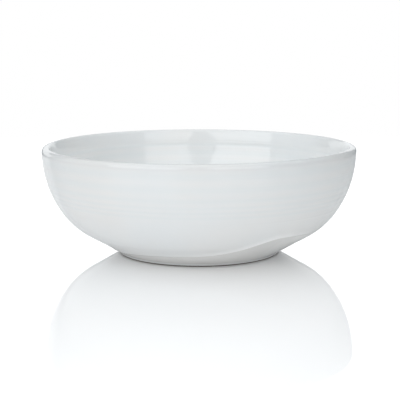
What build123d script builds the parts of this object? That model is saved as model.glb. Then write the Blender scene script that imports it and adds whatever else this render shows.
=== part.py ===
from build123d import *

import os
from math import asin, cos, degrees, radians, sin, sqrt, tan

# A thrown porcelain serving bowl, in millimetres. +Z is up, Z is the axis of the bowl, and the origin is
# the centre of the circle that the foot stands on. Every outline is drawn in the XZ plane, where X is the
# distance from the axis, and is revolved about Z.

# Driving dimensions, over the glaze
rim_diameter = 250.0
height = 86.0
lip_thickness = 8.0
glaze = 0.4

# Outside: a wide arc under the lip, a tighter one at the haunch, then a straight cone. Angles are
# measured downwards from level, except for the cone's own slope.
belly_radius = 83.7
belly_angle = 34.5
haunch_radius = 57.7
cone_slope = 29.7

# Inside: a bevel that leans out to the lip, a wide arc, then a tighter one that runs level into the floor
bevel_start = 75.0
bevel_angle = 22.0
inside_radius = 76.0
corner_radius = 50.0
floor_height = 12.5

# Foot: a low ring, coved on the outside, with its standing face left bare
foot_outer_radius = 64.4
foot_inner_radius = 58.4
foot_cove = 3.0
foot_edge = 0.8
foot_draft = 18.0
glaze_line = 1.0
well_rise = 1.3

# Throwing rings: soft ridges at these heights, with shallow flutes between them
outer_ridges = (72.0, 62.3, 55.7, 51.6, 47.9, 44.2)
inner_ridges = (70.0, 61.0, 52.5, 45.0)
flute_depth = 0.12

# Lip: a half round on the outside, which the bevel meets on the inside
lip_radius = lip_thickness / 2
lip_height = height - lip_radius
rim_radius = rim_diameter / 2
belly_centre = (rim_radius - belly_radius, lip_height)
inside_centre = (rim_radius - lip_thickness - inside_radius, lip_height)

# The bevel is a slack arc that leaves the wall at its foot, then a tight one up to the crown. Their two
# radii have to span the run from the one to the other, across and up.
bevel_foot = degrees(asin((lip_height - bevel_start) / inside_radius))
bevel_across = rim_radius - lip_radius - inside_centre[0] - inside_radius * cos(radians(bevel_foot))
bevel_up = height - bevel_start
slack_across = cos(radians(bevel_foot)) - cos(radians(bevel_angle))
slack_up = sin(radians(bevel_angle)) - sin(radians(bevel_foot))
tight_across = cos(radians(bevel_angle))
tight_up = 1 - sin(radians(bevel_angle))
determinant = slack_across * tight_up - tight_across * slack_up
bevel_radius = (bevel_across * tight_up - tight_across * bevel_up) / determinant
crown_radius = (slack_across * bevel_up - bevel_across * slack_up) / determinant
crown_centre = (rim_radius - lip_radius, height - crown_radius)

# The haunch's arc runs smoothly out of the belly's, and ends where it is square to the cone
haunch_step = belly_radius - haunch_radius
haunch_x = belly_centre[0] + haunch_step * cos(radians(belly_angle))
haunch_z = lip_height - haunch_step * sin(radians(belly_angle))
haunch_centre = (haunch_x, haunch_z)
haunch_angle = 90 - cone_slope

# The cove's circle touches the cone and the upright side of the foot
cove_x = foot_outer_radius + foot_cove
cove_fall = haunch_radius + foot_cove - (cove_x - haunch_x) * cos(radians(haunch_angle))
cove_centre = (cove_x, haunch_z - cove_fall / sin(radians(haunch_angle)))
cove_top_angle = haunch_angle - 180

# The corner between wall and floor touches the inside arc and the level floor
corner_z = floor_height + corner_radius
corner_step = inside_radius - corner_radius
corner_angle = degrees(asin((lip_height - corner_z) / corner_step))
corner_centre = (inside_centre[0] + corner_step * cos(radians(corner_angle)), corner_z)

# The foot ring is stuck to the base level with the top of the cove
base_height = cove_centre[1] + (foot_cove + glaze) * sin(radians(haunch_angle))
base_inner_radius = foot_inner_radius - base_height * tan(radians(foot_draft))
well_top = base_height + well_rise


def on_circle(centre, radius, angle):
    """The point of a circle at an angle measured downwards from level."""
    x = centre[0] + radius * cos(radians(angle))
    z = centre[1] - radius * sin(radians(angle))
    return (x, z)


def arc(centre, radius, start, end, dip=0.0):
    """An arc between two angles, whose middle can dip off the circle."""
    first = on_circle(centre, radius, start)
    middle = on_circle(centre, radius + dip, (start + end) / 2)
    last = on_circle(centre, radius, end)
    ThreePointArc(first, middle, last)


def ringed_arc(centre, radius, start, end, ridges, dip):
    """An arc between two angles, with a flute above each ridge and a plain end."""
    for ridge in ridges:
        angle = degrees(asin((centre[1] - ridge) / radius))
        arc(centre, radius, start, angle, dip)
        start = angle
    arc(centre, radius, start, end)


def crown(inset):
    """The highest point of the lip."""
    return (crown_centre[0], height - inset)


def outside(inset):
    """From the crown of the lip down the outside to the top of the foot's cove."""
    JernArc(crown(inset), (1, 0), lip_radius - inset, -90)
    ringed_arc(belly_centre, belly_radius - inset, 0, belly_angle, outer_ridges, -flute_depth)
    arc(haunch_centre, haunch_radius - inset, belly_angle, haunch_angle)
    cone_top = on_circle(haunch_centre, haunch_radius - inset, haunch_angle)
    Line(cone_top, on_circle(cove_centre, foot_cove + inset, cove_top_angle))


def inside(inset):
    """From the crown of the lip down the inside and along the floor to the axis."""
    JernArc(crown(inset), (-1, 0), crown_radius - inset, 90 - bevel_angle)
    slack_top = on_circle(crown_centre, crown_radius - inset, bevel_angle - 180)
    lean = (-sin(radians(bevel_angle)), -cos(radians(bevel_angle)))
    JernArc(slack_top, lean, bevel_radius - inset, bevel_angle - bevel_foot)
    wall_radius = inside_radius + inset
    ringed_arc(inside_centre, wall_radius, bevel_foot, corner_angle, inner_ridges, flute_depth)
    arc(corner_centre, corner_radius + inset, corner_angle, 90)
    Line((corner_centre[0], floor_height - inset), (0, floor_height - inset))


def cove_angle(inset, level):
    """The angle at which the foot's cove reaches a height near the bottom."""
    return degrees(asin((level - cove_centre[1]) / (foot_cove + inset))) - 180


def cove(inset, level):
    """The foot's cove, from the end of the cone down to a height."""
    arc(cove_centre, foot_cove + inset, cove_top_angle, cove_angle(inset, level))


def cove_end(inset, level):
    """The lower end of the foot's cove."""
    return on_circle(cove_centre, foot_cove + inset, cove_angle(inset, level))


def well_side(inset, level):
    """The point of the foot's drafted inner side at a height."""
    return (foot_inner_radius - inset - level * tan(radians(foot_draft)), level)


# Body: the wall and floor of the bowl, thrown in one, in fired porcelain
with BuildPart() as bowl_body:
    with BuildSketch(Plane.XZ):
        with BuildLine():
            outside(glaze)
            inside(glaze)
            Line((0, floor_height - glaze), (0, well_top))
            TangentArc((0, well_top), well_side(0, base_height), tangent=(1, 0))
            Line(well_side(0, base_height), cove_end(glaze, base_height))
        make_face()
    revolve(axis=Axis.Z)

# Foot ring: stuck to the base, turned true, and the only part that meets the table
with BuildPart() as foot_ring:
    with BuildSketch(Plane.XZ):
        with BuildLine():
            cove(glaze, 0)
            Line(cove_end(glaze, 0), well_side(0, 0))
            Line(well_side(0, 0), well_side(0, base_height))
            Line(well_side(0, base_height), cove_end(glaze, base_height))
        make_face()
    revolve(axis=Axis.Z)
    fillet(foot_ring.edges().group_by(Axis.Z)[0], radius=foot_edge)

# Outer glaze: the skin over the outside, from the crown of the lip to a line just above the table
with BuildPart() as outer_glaze:
    with BuildSketch(Plane.XZ):
        with BuildLine():
            outside(0)
            cove(0, glaze_line)
            Line(cove_end(0, glaze_line), cove_end(glaze, glaze_line))
            cove(glaze, glaze_line)
            outside(glaze)
            Line(crown(glaze), crown(0))
        make_face()
    revolve(axis=Axis.Z)

# Inner glaze: the skin over the inside, from the crown of the lip across the floor
with BuildPart() as inner_glaze:
    with BuildSketch(Plane.XZ):
        with BuildLine():
            inside(0)
            Line((0, floor_height), (0, floor_height - glaze))
            inside(glaze)
            Line(crown(glaze), crown(0))
        make_face()
    revolve(axis=Axis.Z)

# Well glaze: the skin inside the foot ring, down to the same line as outside
with BuildPart() as well_glaze:
    with BuildSketch(Plane.XZ):
        with BuildLine():
            Line(well_side(0, glaze_line), well_side(0, base_height))
            TangentArc((0, well_top), well_side(0, base_height), tangent=(1, 0))
            Line((0, well_top), (0, well_top - glaze))
            TangentArc((0, well_top - glaze), well_side(glaze, base_height - glaze), tangent=(1, 0))
            Line(well_side(glaze, base_height - glaze), well_side(glaze, glaze_line))
            Line(well_side(glaze, glaze_line), well_side(0, glaze_line))
        make_face()
    revolve(axis=Axis.Z)

bowl_body.part.label = "bowl_body"
foot_ring.part.label = "foot_ring"
outer_glaze.part.label = "outer_glaze"
inner_glaze.part.label = "inner_glaze"
well_glaze.part.label = "well_glaze"

os.makedirs("parts", exist_ok=True)
export_step(bowl_body.part, "parts/bowl_body.step")
export_step(foot_ring.part, "parts/foot_ring.step")
export_step(outer_glaze.part, "parts/outer_glaze.step")
export_step(inner_glaze.part, "parts/inner_glaze.step")
export_step(well_glaze.part, "parts/well_glaze.step")
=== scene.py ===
from math import asin, cos, pi, radians, sin

import bpy
import numpy as np
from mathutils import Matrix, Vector


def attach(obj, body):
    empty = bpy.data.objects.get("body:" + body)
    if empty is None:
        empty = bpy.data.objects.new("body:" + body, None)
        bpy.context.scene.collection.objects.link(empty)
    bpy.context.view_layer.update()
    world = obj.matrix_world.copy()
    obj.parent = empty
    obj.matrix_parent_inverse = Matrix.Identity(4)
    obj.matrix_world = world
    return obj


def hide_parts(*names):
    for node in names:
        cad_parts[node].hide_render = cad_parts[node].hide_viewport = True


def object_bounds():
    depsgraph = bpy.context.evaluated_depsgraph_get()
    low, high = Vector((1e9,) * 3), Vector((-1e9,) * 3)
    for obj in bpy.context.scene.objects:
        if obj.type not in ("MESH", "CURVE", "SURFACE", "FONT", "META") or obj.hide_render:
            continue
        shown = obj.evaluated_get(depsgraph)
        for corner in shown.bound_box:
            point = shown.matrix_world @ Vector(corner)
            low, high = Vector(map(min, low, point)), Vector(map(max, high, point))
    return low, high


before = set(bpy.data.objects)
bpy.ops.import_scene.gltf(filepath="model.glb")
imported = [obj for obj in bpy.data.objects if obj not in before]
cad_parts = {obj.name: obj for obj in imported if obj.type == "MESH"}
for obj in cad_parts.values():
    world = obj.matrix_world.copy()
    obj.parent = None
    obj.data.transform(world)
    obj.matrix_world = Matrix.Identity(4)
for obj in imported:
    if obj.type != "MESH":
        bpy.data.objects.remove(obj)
cad_low, cad_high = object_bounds()

# Sizes over the glaze, in metres. The overall ones come from the frame.
RIM_RADIUS = min(-cad_low.x, -cad_low.y, cad_high.x, cad_high.y)
HEIGHT = cad_high.z - cad_low.z
LIP_RADIUS = 0.004
GLAZE = 0.0004
BELLY_RADIUS = 0.0837
BELLY_ANGLE = radians(34.5)
HAUNCH_RADIUS = 0.0577
CONE_SLOPE = radians(29.7)
FOOT_RADIUS = 0.0644
FOOT_INNER = 0.0584
FOOT_COVE = 0.003
FOOT_EDGE = 0.0008
FOOT_DRAFT = radians(18)
GLAZE_LINE = 0.001
WELL_RISE = 0.0013
INSIDE_RADIUS = 0.076
BEVEL_START = 0.075
BEVEL_ANGLE = radians(22)
CORNER_RADIUS = 0.05
FLOOR_HEIGHT = 0.0125

# Throwing rings: the heights of the ridges, the depth of the flutes between them, and how far the rings
# stray up and down
OUTER_RIDGES = (0.0720, 0.0623, 0.0557, 0.0516, 0.0479, 0.0442)
INNER_RIDGES = (0.0700, 0.0610, 0.0525, 0.0450)
FLUTE_DEPTH = 0.00006
RING_WANDER = 0.0003

# Fine lines that the fingers left on top of the rings
LINE_DEPTH = 0.000008
LINE_SPACINGS = (0.0043, 0.0031, 0.0023, 0.0017)
LINE_PHASE = 2.4

# Where each set of rings and lines starts to stray, so that no two stray alike
OUTER_START = 0.7
INNER_START = 3.1
LINE_START = 1.9

# The rim sinks by up to twice this in two places, where it warped in the kiln
RIM_WARP = 0.0002

# The trimmed facet above the foot: its upper edge runs low at the back and left, and climbs to a peak on the
# right of the front, where the turning tool cut deepest. It climbs more steeply than it falls, and beyond the
# peak the cut fades out. Angles are measured from the front, positive to the right.
TRIM_LOW = 0.006
TRIM_SWELL = 0.006
TRIM_SWELL_AT = radians(10)
TRIM_PEAK = 0.0165
TRIM_PEAK_AT = radians(38)
TRIM_PEAK_WIDTHS = (radians(20), radians(60))
TRIM_FADE = (radians(40), radians(58))

# The row of the section that the facet's edge follows, and the height above which the rows stay level
TRIM_ROW = 0.012
TRIM_TOP = 0.04

# The roll of glaze along that edge: how far it stands off, how far up it reaches and how far down it ends.
# It is low on the left and grows to its full height over the front.
ROLL_HEIGHT = 0.0011
ROLL_WIDTH = 0.0018
ROLL_DROP = 0.0008
ROLL_LEAST = 0.2
ROLL_GROWS = (radians(-25), radians(20))
ROLL_TAPER = 1.5

# Camera: where the photographer stood, and how far the lens reaches
CAMERA_DISTANCE = 0.9344
CAMERA_HEIGHT = 0.1924
CAMERA_PITCH = radians(9.206)
CAMERA_ROLL = radians(0.127)
CAMERA_YAW = radians(0.06)
CAMERA_LENS = 105.8

# Columns of each mesh, the distances between its rows, and the least angle of an edge that is shaded sharp
COLUMNS = 360
FINE = 0.0003
MEDIUM = 0.0006
COARSE = 0.0015
ROOF_ROWS = 30
SHARP_EDGE = radians(40)


# ---------------------------------------------------------------- the section of the bowl

LIP_HEIGHT = HEIGHT - LIP_RADIUS
CROWN = (RIM_RADIUS - LIP_RADIUS, LIP_HEIGHT)
BELLY_CENTRE = (RIM_RADIUS - BELLY_RADIUS, LIP_HEIGHT)
INSIDE_CENTRE = (RIM_RADIUS - 2 * LIP_RADIUS - INSIDE_RADIUS, LIP_HEIGHT)
HAUNCH_STEP = BELLY_RADIUS - HAUNCH_RADIUS
HAUNCH_CENTRE = (
    BELLY_CENTRE[0] + HAUNCH_STEP * cos(BELLY_ANGLE),
    LIP_HEIGHT - HAUNCH_STEP * sin(BELLY_ANGLE),
)
HAUNCH_ANGLE = pi / 2 - CONE_SLOPE
COVE_X = FOOT_RADIUS + FOOT_COVE
COVE_FALL = HAUNCH_RADIUS + FOOT_COVE - (COVE_X - HAUNCH_CENTRE[0]) * cos(HAUNCH_ANGLE)
COVE_CENTRE = (COVE_X, HAUNCH_CENTRE[1] - COVE_FALL / sin(HAUNCH_ANGLE))
CORNER_Z = FLOOR_HEIGHT + CORNER_RADIUS
CORNER_STEP = INSIDE_RADIUS - CORNER_RADIUS
CORNER_ANGLE = asin((LIP_HEIGHT - CORNER_Z) / CORNER_STEP)
CORNER_CENTRE = (INSIDE_CENTRE[0] + CORNER_STEP * cos(CORNER_ANGLE), CORNER_Z)
BASE_HEIGHT = COVE_CENTRE[1] + (FOOT_COVE + GLAZE) * sin(HAUNCH_ANGLE)
WELL_TOP = BASE_HEIGHT + WELL_RISE

# The bevel inside the lip: a slack arc that leaves the wall, then a tight one over to the crown
BEVEL_FOOT = asin((LIP_HEIGHT - BEVEL_START) / INSIDE_RADIUS)
BEVEL_RUN = (
    CROWN[0] - INSIDE_CENTRE[0] - INSIDE_RADIUS * cos(BEVEL_FOOT),
    HEIGHT - BEVEL_START,
)
BEVEL_RADIUS, CROWN_RADIUS = np.linalg.solve(
    [
        [cos(BEVEL_FOOT) - cos(BEVEL_ANGLE), cos(BEVEL_ANGLE)],
        [sin(BEVEL_ANGLE) - sin(BEVEL_FOOT), 1 - sin(BEVEL_ANGLE)],
    ],
    BEVEL_RUN,
)

# Which wall a row of a section belongs to: the rings are only on the first two
OUTWARD = -1.0
INWARD = 1.0
PLAIN = 0.0


def arc(centre, radius, start, end, step):
    """Points of an arc about `step` apart, between angles measured downwards from level."""
    count = max(3, int(abs(end - start) * radius / step) + 1)
    angles = np.linspace(start, end, count)
    return np.stack([centre[0] + radius * np.cos(angles), centre[1] - radius * np.sin(angles)], 1)


def line(first, last, step):
    """Points of a straight stretch, about `step` apart."""
    first, last = np.array(first), np.array(last)
    count = max(2, int(np.linalg.norm(last - first) / step) + 1)
    return first + np.linspace(0, 1, count)[:, None] * (last - first)


def joined(side, *stretches):
    """One run of (radius, height, side), without the doubled points where stretches meet."""
    points = np.concatenate(stretches)
    keep = np.ones(len(points), bool)
    keep[1:] = np.linalg.norm(np.diff(points, axis=0), axis=1) > 1e-6
    points = points[keep]
    return np.column_stack([points, np.full(len(points), side)])


def outside(inset, scale):
    """From the crown of the lip down the outside to the top of the foot's cove.

    The glaze's surface has an inset of 0, and `scale` spreads the points out.
    """
    lip = arc(CROWN, LIP_RADIUS - inset, -pi / 2, 0, FINE * scale)
    belly = arc(BELLY_CENTRE, BELLY_RADIUS - inset, 0, BELLY_ANGLE, MEDIUM * scale)
    haunch = arc(HAUNCH_CENTRE, HAUNCH_RADIUS - inset, BELLY_ANGLE, HAUNCH_ANGLE, MEDIUM * scale)
    cone = line(haunch[-1], cove(inset, GLAZE_LINE)[0], FINE * 1.5 * scale)
    return joined(OUTWARD, lip, belly, haunch, cone)


def cove(inset, level):
    """The foot's cove, from the end of the cone down to a height."""
    end = asin((level - COVE_CENTRE[1]) / (FOOT_COVE + inset)) - pi
    return arc(COVE_CENTRE, FOOT_COVE + inset, HAUNCH_ANGLE - pi, end, FINE)


def inside(inset, scale):
    """From the crown of the lip down the inside and along the floor to the axis, in the same way."""
    tight = (CROWN[0], HEIGHT - CROWN_RADIUS)
    crown = arc(tight, CROWN_RADIUS - inset, -pi / 2, BEVEL_ANGLE - pi, FINE * scale)
    slack_x = tight[0] + (BEVEL_RADIUS - CROWN_RADIUS) * cos(BEVEL_ANGLE)
    slack_z = tight[1] - (BEVEL_RADIUS - CROWN_RADIUS) * sin(BEVEL_ANGLE)
    slack = (slack_x, slack_z)
    bevel = arc(slack, BEVEL_RADIUS - inset, BEVEL_ANGLE - pi, BEVEL_FOOT - pi, FINE * scale)
    wall = arc(INSIDE_CENTRE, INSIDE_RADIUS + inset, BEVEL_FOOT, CORNER_ANGLE, MEDIUM * scale)
    corner = arc(CORNER_CENTRE, CORNER_RADIUS + inset, CORNER_ANGLE, pi / 2, MEDIUM * 2 * scale)
    floor = line(corner[-1], (0, FLOOR_HEIGHT - inset), COARSE * scale)
    return joined(INWARD, crown, bevel, wall, corner, floor)


def well_side(inset, level):
    """The point of the foot's drafted inner side at a height."""
    return (FOOT_INNER - inset - level * np.tan(FOOT_DRAFT), level)


def well_roof(inset):
    """The shallow dome over the well, from the foot ring in to the axis."""
    edge = well_side(inset, BASE_HEIGHT - inset)
    radii = np.linspace(edge[0], 0, ROOF_ROWS)
    top = WELL_TOP - inset
    return np.stack([radii, top - (top - edge[1]) * (radii / edge[0]) ** 2], 1)


# ---------------------------------------------------------------- turning the section into meshes


def flutes(height, top, ridges):
    """From 0 on a ridge to 1 in the middle of the flute above it, and 0 below the last ridge."""
    edges = (top,) + ridges
    depth = np.zeros_like(height)
    for upper, lower in zip(edges[:-1], edges[1:]):
        share = (height - lower) / (upper - lower)
        depth += np.where((share > 0) & (share <= 1), np.sin(pi * share) ** 2, 0)
    return depth


def throwing_lines(height):
    """Fine lines left by the fingers, as heights of the surface in metres."""
    return sum(
        LINE_DEPTH * np.sin(2 * pi * height / spacing + LINE_PHASE * k)
        for k, spacing in enumerate(LINE_SPACINGS, 1)
    )


def from_front(turn):
    """An angle measured from +X as one measured from the front, positive to the right."""
    return (turn + pi / 2 + pi) % (2 * pi) - pi


def trim_line(turn):
    """The height of the trimmed facet's upper edge."""
    around = from_front(turn)
    swell = TRIM_SWELL * np.maximum(np.cos(around - TRIM_SWELL_AT), 0) ** 2
    past = around - TRIM_PEAK_AT
    width = np.where(past < 0, *TRIM_PEAK_WIDTHS)
    return TRIM_LOW + swell + TRIM_PEAK * np.exp(-((past / width) ** 2))


def trimmed(radius, height, turn):
    """The lower outside wall with the facet cut and the roll of glaze laid on.

    Its rows slide so that one of them follows the edge. Besides the radius and height of each point it gives
    its share of the roll's full height and its share of the thinner glaze below, both from 0 to 1.
    """
    edge = trim_line(turn)
    low = height.min()
    below = low + (height - low) * (edge - low) / (TRIM_ROW - low)
    above = TRIM_TOP - (TRIM_TOP - height) * (TRIM_TOP - edge) / (TRIM_TOP - TRIM_ROW)
    z = np.where(height < TRIM_ROW, below, above)
    order = np.argsort(height[:, 0])
    r = np.interp(z, height[order, 0], radius[order, 0])
    edge_radius = np.interp(edge, height[order, 0], radius[order, 0])
    chord = radius.min() + (z - low) * (edge_radius - radius.min()) / (edge - low)
    around = from_front(turn)
    fade = np.clip((TRIM_FADE[1] - around) / (TRIM_FADE[1] - TRIM_FADE[0]), 0, 1)
    fade = np.where(around > -pi / 2, fade, 0)
    grown = np.clip((around - ROLL_GROWS[0]) / (ROLL_GROWS[1] - ROLL_GROWS[0]), 0, 1)
    cut = np.where(z < edge, r + (chord - r) * fade, r)
    rise = z - edge
    roll = np.where(rise > 0, np.exp(-((rise / ROLL_WIDTH) ** 2)), np.clip(1 + rise / ROLL_DROP, 0, 1))
    roll = roll * (ROLL_LEAST + (1 - ROLL_LEAST) * grown) * fade ** ROLL_TAPER
    thin = np.clip(-rise / ROLL_DROP, 0, 1) * fade
    out, down = ROLL_HEIGHT * sin(CONE_SLOPE), ROLL_HEIGHT * cos(CONE_SLOPE)
    return cut + out * roll, z - down * roll, roll, thin


def wander(turn, start):
    """How far the rings stray from level round the bowl, in metres."""
    return RING_WANDER * (0.6 * np.sin(turn + start) + 0.4 * np.sin(2 * turn + 2.3 * start))


def lower_walls(section):
    """The runs of rows that lie low on the outside wall."""
    rows = np.flatnonzero((section[:, 2] == OUTWARD) & (section[:, 1] < TRIM_TOP))
    return [run for run in np.split(rows, np.flatnonzero(np.diff(rows) > 1) + 1) if len(run)]


def turned(name, section, closed):
    """The section turned about Z. A closed one is a loop, and an open one starts and ends on the axis.

    Each point also stores how deep it lies in a flute, and where it is on the roll and in the thin glaze.
    """
    turn = np.linspace(0, 2 * pi, COLUMNS, endpoint=False)[None, :]
    radius, height, side = (section[:, k][:, None] for k in range(3))
    outer = flutes(height + wander(turn, OUTER_START), LIP_HEIGHT, OUTER_RIDGES) * (side == OUTWARD)
    inner = flutes(height + wander(turn, INNER_START), BEVEL_START, INNER_RIDGES) * (side == INWARD)
    lines = throwing_lines(height + wander(turn, LINE_START)) * (height > TRIM_TOP) * abs(side)
    r = radius + FLUTE_DEPTH * (inner - outer) + lines
    z = height - RIM_WARP * (height / HEIGHT) ** 2 * (1 + np.sin(2 * turn))
    roll, thin = np.zeros_like(r), np.zeros_like(r)
    for run in lower_walls(section):
        r[run], z[run], roll[run], thin[run] = trimmed(radius[run], height[run], turn)
    points = np.stack([r * np.cos(turn), r * np.sin(turn), z], -1)
    values = np.stack([outer + inner, roll, thin], -1).reshape(-1, 3)

    rows, columns = points.shape[:2]
    index = np.arange(rows * columns).reshape(rows, columns)
    if closed:
        index = np.concatenate([index, index[:1]])
    right = np.roll(index, -1, axis=1)
    quads = np.stack([index[:-1], index[1:], right[1:], right[:-1]], -1)
    faces = quads.reshape(-1, 4).tolist()
    vertices = points.reshape(-1, 3)
    if not closed:
        faces, vertices, values = with_poles(vertices, values, index)

    mesh = bpy.data.meshes.new(name)
    mesh.from_pydata(vertices.tolist(), [], faces)
    for k, attribute in enumerate(("pool", "roll", "thin")):
        column = values[:, k].astype(np.float32)
        mesh.attributes.new(attribute, "FLOAT", "POINT").data.foreach_set("value", column)
    mesh.shade_smooth()
    mesh.set_sharp_from_angle(angle=SHARP_EDGE)
    piece = bpy.data.objects.new(name, mesh)
    bpy.context.scene.collection.objects.link(piece)
    return piece


def with_poles(vertices, values, index):
    """Faces of an open section, whose first and last rows shrink to one point on the axis each."""
    columns = index.shape[1]
    inner_rows = index[1:-1]
    right = np.roll(inner_rows, -1, axis=1)
    quads = np.stack([inner_rows[:-1], inner_rows[1:], right[1:], right[:-1]], -1)
    first, last = int(index[0, 0]), int(index[-1, 0])
    faces = quads.reshape(-1, 4).tolist()
    for k in range(columns):
        faces.append([first, int(inner_rows[0, k]), int(right[0, k])])
        faces.append([int(inner_rows[-1, k]), last, int(right[-1, k])])
    used = np.zeros(len(vertices), bool)
    used[[first, last]] = True
    used[inner_rows.reshape(-1)] = True
    renumber = np.cumsum(used) - 1
    faces = [[int(renumber[v]) for v in face] for face in faces]
    return faces, vertices[used], values[used]


# ---------------------------------------------------------------- materials


class Nodes:
    """A material's node tree, with short calls for making and linking nodes."""

    def __init__(self, name):
        self.material = bpy.data.materials.new(name)
        self.material.use_nodes = True
        self.tree = self.material.node_tree
        self.shader = self.tree.nodes["Principled BSDF"]

    def put(self, socket, value):
        if isinstance(value, bpy.types.NodeSocket):
            self.tree.links.new(value, socket)
        else:
            socket.default_value = value

    def add(self, kind, settings=None, **inputs):
        node = self.tree.nodes.new(kind)
        for key, value in (settings or {}).items():
            setattr(node, key, value)
        for key, value in inputs.items():
            self.put(node.inputs[key.replace("_", " ")], value)
        return node

    def place(self):
        return self.add("ShaderNodeTexCoord").outputs["Object"]

    def attribute(self, name):
        return self.add("ShaderNodeAttribute", {"attribute_name": name}).outputs["Fac"]

    def noise(self, size, detail=2.0, stretch=(1, 1, 1)):
        """Noise with blobs about `size` metres across, drawn out along an axis where stretch is above 1."""
        scaled = self.add("ShaderNodeMapping", Vector=self.place())
        scaled.inputs["Scale"].default_value = [1 / s for s in stretch]
        node = self.add("ShaderNodeTexNoise", Vector=scaled.outputs[0], Scale=1 / size, Detail=detail)
        return node.outputs["Fac"]

    def span(self, value, low, high, to_low=0.0, to_high=1.0):
        """value from low..high onto to_low..to_high, clamped."""
        node = self.add("ShaderNodeMapRange", {"clamp": True}, Value=value)
        ends = {"From Min": low, "From Max": high, "To Min": to_low, "To Max": to_high}
        for key, number in ends.items():
            node.inputs[key].default_value = number
        return node.outputs["Result"]

    def mix(self, share, first, second):
        """Two colours mixed by a share."""
        node = self.add("ShaderNodeMix", {"data_type": "RGBA"})
        self.put(node.inputs["Factor"], share)
        self.put(node.inputs[6], first)
        self.put(node.inputs[7], second)
        return node.outputs[2]

    def product(self, first, second):
        node = self.add("ShaderNodeMath", {"operation": "MULTIPLY"})
        self.put(node.inputs[0], first)
        self.put(node.inputs[1], second)
        return node.outputs[0]

    def bump(self, height, distance, normal=None):
        node = self.add("ShaderNodeBump", Height=height, Distance=distance, Strength=1.0)
        if normal:
            self.put(node.inputs["Normal"], normal)
        return node.outputs["Normal"]


# The glaze: its colours, how much lighter or darker each coat is painted (the outer coat darker as painted
# shade, the inner coat lighter as painted light), its gloss and its index of refraction
WHITE_COOL = (0.88, 0.90, 0.905, 1)
WHITE_WARM = (0.90, 0.90, 0.89, 1)
POOLED = (0.85, 0.885, 0.89, 1)
THIN = (0.87, 0.865, 0.85, 1)
# The near white along the roll is a painted highlight
ROLL_HIGHLIGHT = (0.97, 0.97, 0.965, 1)
SPECK = (0.62, 0.57, 0.50, 1)
# Painted shade on the outer coat and painted light on the inner coat of the same glaze
OUTER_SHADE_LIFT = 0.98
INNER_LIGHT_LIFT = 1.05
WELL_LIFT = 1.0
GLAZE_ROUGHNESS = 0.015
WELL_ROUGHNESS = 0.1
GLAZE_IOR = 1.66

# How wide its clouds, glossy patches, waves and orange peel are, and how deep the last two
CLOUD = 0.06
GLOSS_PATCH = 0.02
WAVE = 0.03
WAVE_DEPTH = 0.00003
PEEL = 0.0035
PEEL_DEPTH = 0.000006

# Iron specks: the cells to a metre, with a speck in each, a speck's inner and outer edge in cells, and the
# width and the two levels of the noise that leaves most cells bare
SPECK_CELLS = 90.0
SPECK_EDGE = (0.018, 0.03)
SPECK_PATCH = 0.012
SPECK_SHARE = (0.66, 0.68)

# Bare porcelain: its colours, the widths of its stains and grain, and the band at the table that is painted
# near black as a painted contact shadow
BARE_LIGHT = (0.74, 0.71, 0.65, 1)
BARE_DARK = (0.62, 0.585, 0.52, 1)
# Near black of the painted contact shadow at the standing edge
CONTACT_SHADE = (0.16, 0.14, 0.12, 1)
GRAIN_DARK = (0.12, 0.10, 0.08, 1)
STAIN = 0.02
GRAIN = 0.0009
GRAIN_DEPTH = 0.00006
CONTACT_SHADE_EDGE = (0.0008, 0.0016)


def lifted(colour, painted_lift):
    """A colour made lighter or darker, with its alpha kept."""
    return tuple(channel * painted_lift for channel in colour[:3]) + (1,)


def glaze_material(name, painted_lift, roughness):
    """Clear gloss glaze over white porcelain.

    It has faint cool and warm clouds, deeper colour where it pools between the rings, a slight orange peel
    and a few tiny iron specks. Along the roll it is painted near white as a painted highlight, and below the
    roll it is thinner and warmer.
    """
    m = Nodes(name)
    clouds = m.span(m.noise(CLOUD, 3.0), 0.35, 0.65)
    body = m.mix(clouds, lifted(WHITE_COOL, painted_lift), lifted(WHITE_WARM, painted_lift))
    pooled = m.mix(m.span(m.attribute("pool"), 0.0, 1.0, 0.0, 0.5), body, lifted(POOLED, painted_lift))
    thin = m.mix(m.attribute("thin"), pooled, THIN)
    # Painted highlight: the coat is painted near white along the roll
    painted_highlight = m.mix(m.attribute("roll"), thin, ROLL_HIGHLIGHT)
    cells = m.add("ShaderNodeTexVoronoi", {"feature": "F1"}, Vector=m.place(), Scale=SPECK_CELLS)
    speck = m.span(cells.outputs["Distance"], *SPECK_EDGE, 1.0, 0.0)
    sparse = m.span(m.noise(SPECK_PATCH, 1.0), *SPECK_SHARE)
    m.put(m.shader.inputs["Base Color"], m.mix(m.product(speck, sparse), painted_highlight, SPECK))
    gloss = m.span(m.noise(GLOSS_PATCH, 2.0), 0.3, 0.7, roughness * 0.7, roughness * 1.4)
    m.put(m.shader.inputs["Roughness"], gloss)
    peel = m.bump(m.noise(PEEL, 1.0), PEEL_DEPTH)
    m.put(m.shader.inputs["Normal"], m.bump(m.noise(WAVE, 1.0, (2, 2, 1)), WAVE_DEPTH, peel))
    m.shader.inputs["IOR"].default_value = GLAZE_IOR
    return m.material


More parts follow.
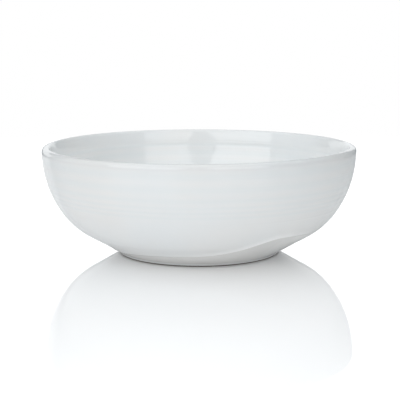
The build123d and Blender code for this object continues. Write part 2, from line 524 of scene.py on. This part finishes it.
def biscuit_material(name):
    """Bare fired porcelain: off-white, matt and finely grained, with a painted contact shadow, near black,
    where it stands.
    """
    m = Nodes(name)
    grain = m.noise(GRAIN, 4.0)
    stain = m.noise(STAIN, 3.0)
    clean = m.mix(m.span(stain, 0.35, 0.7), BARE_LIGHT, BARE_DARK)
    height = m.add("ShaderNodeSeparateXYZ", Vector=m.place()).outputs["Z"]
    # Painted contact shadow: the lowest band of the bare foot is painted near black
    painted_contact_shade = m.mix(m.span(height, *CONTACT_SHADE_EDGE, 1.0, 0.0), clean, CONTACT_SHADE)
    m.put(m.shader.inputs["Base Color"], m.mix(m.span(grain, 0.62, 0.75), painted_contact_shade, GRAIN_DARK))
    m.put(m.shader.inputs["Roughness"], m.span(grain, 0.3, 0.7, 0.7, 0.9))
    m.put(m.shader.inputs["Normal"], m.bump(grain, GRAIN_DEPTH))
    return m.material


# ---------------------------------------------------------------- the pieces

FOOT_TOP = well_side(0, BASE_HEIGHT)


def skin(front, back):
    """A closed loop from a fine front and a coarser back."""
    return np.concatenate([front, back[::-1]])


def glazed_outside():
    """The outer coat, down to the glaze line on the foot."""
    front = [outside(0, 1), joined(PLAIN, cove(0, GLAZE_LINE))[1:]]
    back = [outside(GLAZE, 3), joined(PLAIN, cove(GLAZE, GLAZE_LINE))[1:]]
    return turned("glazed_outside", skin(np.concatenate(front), np.concatenate(back)), True)


def glazed_inside():
    """The inner coat, across the floor of the bowl."""
    section = np.concatenate([inside(0, 1)[::-1], inside(GLAZE, 3)])
    return turned("glazed_inside", section, False)


def glazed_well():
    """The coat under the bowl, inside the foot ring."""
    side = [well_side(0, GLAZE_LINE), well_side(GLAZE, GLAZE_LINE)]
    front = joined(PLAIN, line(side[1], well_side(GLAZE, BASE_HEIGHT - GLAZE), FINE * 2), well_roof(GLAZE))
    back = joined(PLAIN, line(side[0], FOOT_TOP, FINE * 2), well_roof(0))
    return turned("glazed_well", np.concatenate([back[::-1], front]), False)


def bare_foot():
    """The foot ring, with rounded edges where it stands."""
    edge = FOOT_EDGE
    outer = cove(GLAZE, edge)
    outer_round = arc((outer[-1][0] - edge, edge), edge, 0, pi / 2, FINE / 2)
    inner_x = FOOT_INNER - edge * np.tan(FOOT_DRAFT)
    inner_round = arc((inner_x + edge, edge), edge, pi / 2, pi, FINE / 2)
    side = line((inner_x, edge), FOOT_TOP, FINE * 2)
    top = line(FOOT_TOP, outer[0], COARSE)
    standing = line(outer_round[-1], inner_round[0], FINE)
    section = joined(PLAIN, outer, outer_round, standing, inner_round, side, top)
    return turned("bare_foot", section[:-1], True)


def porcelain_body():
    """The wall and floor under the glaze."""
    base = joined(PLAIN, well_roof(0)[::-1])
    section = np.concatenate([inside(GLAZE, 2)[::-1], outside(GLAZE, 2)[1:], base[::-1]])
    return turned("porcelain_body", section, False)


# The same glaze, painted darker outside as painted shade and lighter inside as painted light
outer_white = glaze_material("outer_glaze", OUTER_SHADE_LIFT, GLAZE_ROUGHNESS)
inner_white = glaze_material("inner_glaze", INNER_LIGHT_LIFT, GLAZE_ROUGHNESS)
well_white = glaze_material("well_glaze", WELL_LIFT, WELL_ROUGHNESS)
biscuit = biscuit_material("biscuit")

for piece, node, slot, material in (
    (glazed_outside(), "outer_glaze", "outer_glaze", outer_white),
    (glazed_inside(), "inner_glaze", "inner_glaze", inner_white),
    (glazed_well(), "well_glaze", "well_glaze", well_white),
    (bare_foot(), "foot_ring", "bare_porcelain", biscuit),
    (porcelain_body(), "bowl_body", "porcelain_body", biscuit),
):
    piece.data.materials.append(material)
    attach(piece, "root")
    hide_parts(node)


# ---------------------------------------------------------------- floor, light and camera

# The floor reaches this far each way, and fades out from the second distance on
FLOOR_REACH = 0.9
FLOOR_FADE = 0.6
FLOOR_ROUGHNESS = 0.04
FLOOR_GLOW = 0.06
FLOOR_WHITE = (0.95, 0.95, 0.95, 1)
SKY = 0.28
SKY_COLOUR = (0.93, 1.0, 1.05, 1)

# Soft lights that face the bowl: name, azimuth, elevation, distance, (width, height), radiance and colour.
# Azimuth 0 is behind the bowl and 90 to its right.
LIGHTS = (
    ("window_left", -140, 27, 1.3, (1.2, 0.9), 1.36, (1, 1, 1)),
    ("window_right", 151, 27, 1.3, (0.9, 0.9), 1.18, (1, 1, 1)),
    ("side_left", -85, 22, 1.3, (1.1, 1.0), 0.24, (0.97, 0.98, 1)),
    ("overhead", 180, 88, 1.2, (1.0, 1.0), 0.92, (1, 1, 1)),
    ("above_left", -90, 58, 1.2, (0.8, 0.6), 0.64, (1, 1, 1)),
    ("above_right", 90, 58, 1.2, (0.8, 0.6), 0.38, (1, 1, 1)),
    ("above_front", 180, 55, 1.3, (1.0, 0.5), 0.26, (1, 1, 1)),
    ("above_back", 0, 55, 1.3, (1.0, 0.5), 0.5, (1, 1, 1)),
    ("behind", -12, 11, 1.6, (2.2, 0.45), 0.75, (1, 1, 1)),
)

# Lights that only the floor takes: a bright sheet behind the bowl, which the floor mirrors, and one that
# hangs low over the floor in front. Each has a name, place, turn about X, size and radiance.
FLOOR_LIGHTS = (
    ("backdrop", (0, 2.0, 0.42), 90, (1.05, 0.8), 1.8),
    ("foreground", (0, -0.5, 0.2), 0, (1.4, 0.5), 0.38),
)


def floor():
    """A sheet of white gloss acrylic under the bowl, which fades out into the white room."""
    half = FLOOR_REACH
    corners = [(-half, -half, 0), (half, -half, 0), (half, half, 0), (-half, half, 0)]
    mesh = bpy.data.meshes.new("floor")
    mesh.from_pydata(corners, [], [(0, 1, 2, 3)])
    sheet = bpy.data.objects.new("floor", mesh)
    bpy.context.scene.collection.objects.link(sheet)
    m = Nodes("white_acrylic")
    m.shader.inputs["Base Color"].default_value = FLOOR_WHITE
    m.shader.inputs["Roughness"].default_value = FLOOR_ROUGHNESS
    m.shader.inputs["Emission Color"].default_value = (1, 1, 1, 1)
    m.shader.inputs["Emission Strength"].default_value = FLOOR_GLOW
    far = m.add("ShaderNodeVectorMath", {"operation": "LENGTH"})
    m.put(far.inputs[0], m.place())
    m.put(m.shader.inputs["Alpha"], m.span(far.outputs["Value"], FLOOR_FADE, FLOOR_REACH, 1.0, 0.0))
    mesh.materials.append(m.material)
    return sheet


def area_light(name, size, radiance, colour):
    """A rectangular light that the camera doesn't see, still at the origin and facing down."""
    light = bpy.data.lights.new(name, "AREA")
    light.shape = "RECTANGLE"
    light.size, light.size_y = size
    light.energy = radiance * pi * size[0] * size[1]
    light.color = colour
    lamp = bpy.data.objects.new(name, light)
    lamp.visible_camera = False
    bpy.context.scene.collection.objects.link(lamp)
    return lamp


def softbox(name, azimuth, elevation, distance, size, radiance, colour):
    """A rectangular soft light that faces the bowl."""
    around, up = radians(azimuth), radians(elevation)
    away = Vector((sin(around) * cos(up), cos(around) * cos(up), sin(up)))
    lamp = area_light(name, size, radiance, colour)
    lamp.location = away * distance + Vector((0, 0, HEIGHT / 2))
    lamp.rotation_mode = "QUATERNION"
    lamp.rotation_quaternion = away.to_track_quat("Z", "Y")


def surroundings():
    """A soft grey room all round, and plain white where the camera looks straight at it."""
    world = bpy.data.worlds.new("room")
    bpy.context.scene.world = world
    world.use_nodes = True
    tree = world.node_tree
    room = tree.nodes["Background"]
    room.inputs["Strength"].default_value = SKY
    room.inputs["Color"].default_value = SKY_COLOUR
    seen = tree.nodes.new("ShaderNodeBackground")
    seen.inputs["Color"].default_value = (1, 1, 1, 1)
    path = tree.nodes.new("ShaderNodeLightPath")
    mix = tree.nodes.new("ShaderNodeMixShader")
    tree.links.new(path.outputs["Is Camera Ray"], mix.inputs[0])
    tree.links.new(room.outputs[0], mix.inputs[1])
    tree.links.new(seen.outputs[0], mix.inputs[2])
    tree.links.new(mix.outputs[0], tree.nodes["World Output"].inputs["Surface"])


def camera():
    """The photographer's camera, in front of the bowl and some way above its rim."""
    data = bpy.data.cameras.new("camera")
    data.lens = CAMERA_LENS
    data.sensor_width = 36
    data.clip_end = 20
    view = bpy.data.objects.new("camera", data)
    view.location = (0, -CAMERA_DISTANCE, CAMERA_HEIGHT)
    view.rotation_euler = (pi / 2 - CAMERA_PITCH, CAMERA_ROLL, -CAMERA_YAW)
    bpy.context.scene.collection.objects.link(view)
    bpy.context.scene.camera = view


receivers = bpy.data.collections.new("floor_only")
receivers.objects.link(floor())
surroundings()
for light in LIGHTS:
    softbox(*light)
for name, place, tilt, size, radiance in FLOOR_LIGHTS:
    lamp = area_light(name, size, radiance, (1, 1, 1))
    lamp.location = place
    lamp.rotation_euler = (radians(-tilt), 0, 0)
    lamp.light_linking.receiver_collection = receivers
camera()
bpy.context.scene.view_settings.view_transform = "Standard"
